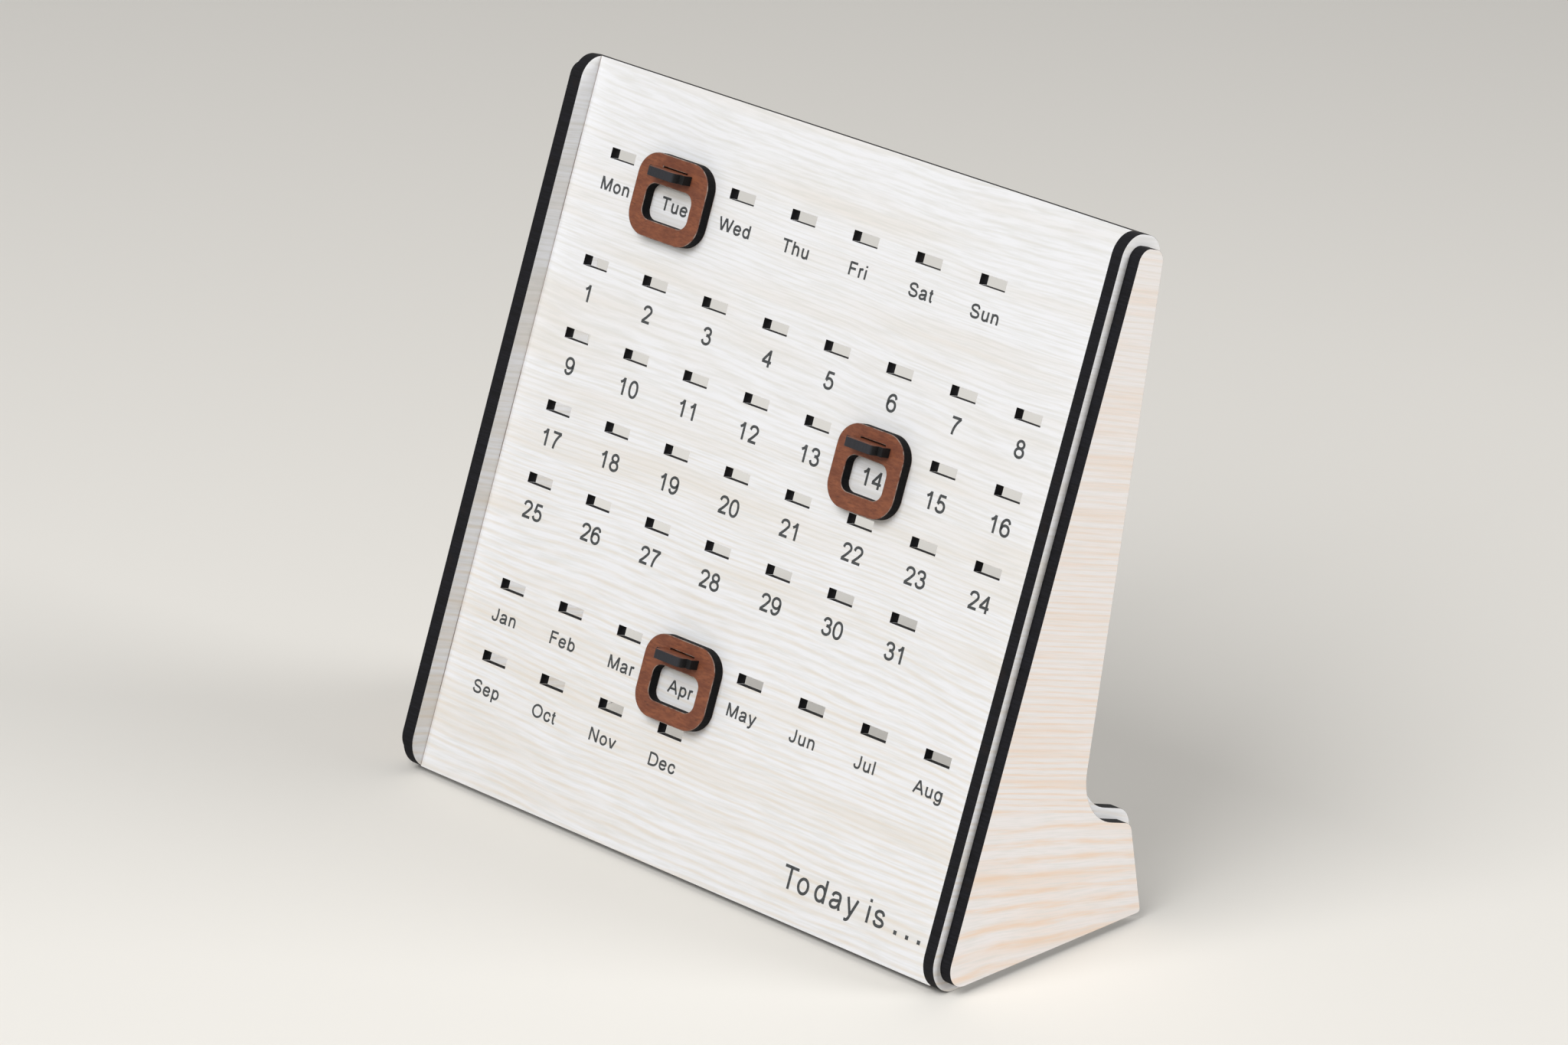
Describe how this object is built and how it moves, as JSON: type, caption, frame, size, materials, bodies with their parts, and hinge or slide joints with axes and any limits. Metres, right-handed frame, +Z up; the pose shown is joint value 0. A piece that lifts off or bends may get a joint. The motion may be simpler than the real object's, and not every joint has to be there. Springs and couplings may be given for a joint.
{
  "type": "perpetual desk calendar",
  "caption": "Perpetual desk calendar: a slotted panel leans back between side boards with feet, and ring markers on pegs frame the weekday, date and month.",
  "frame": {"origin": "centre of the bounding box in X and Y, at the underside of the inner side boards, which stand on the desk", "axes": "+Z up, -Y the front that is read, +X to the reader's right"},
  "size_m": [0.1824, 0.074, 0.1756],
  "materials": {
    "white_laminate": "fibreboard with a white ash print laminate, satin",
    "brown_laminate": "fibreboard with a sapele veneer, matt",
    "charred_edge": "laser-cut edge, charred, matt",
    "ink": "dark grey print"
  },
  "bodies": {
    "stand": {"front_panel": "white_laminate", "left_inner_side": "white_laminate", "right_inner_side": "white_laminate", "left_cover": "white_laminate", "right_cover": "white_laminate"},
    "weekday_marker": {"weekday_ring": "brown_laminate", "weekday_peg": "brown_laminate"},
    "date_marker": {"date_ring": "brown_laminate", "date_peg": "brown_laminate"},
    "month_marker": {"month_ring": "brown_laminate", "month_peg": "brown_laminate"}
  },
  "joints": [
    {"name": "weekday_pull", "type": "slide", "parent": "stand", "child": "weekday_marker", "axis": [0, -0.9548, 0.2974], "range_m": [0, 0.015]},
    {"name": "date_pull", "type": "slide", "parent": "stand", "child": "date_marker", "axis": [0, -0.9548, 0.2974], "range_m": [0, 0.015]},
    {"name": "month_pull", "type": "slide", "parent": "stand", "child": "month_marker", "axis": [0, -0.9548, 0.2974], "range_m": [0, 0.015]}
  ]
}
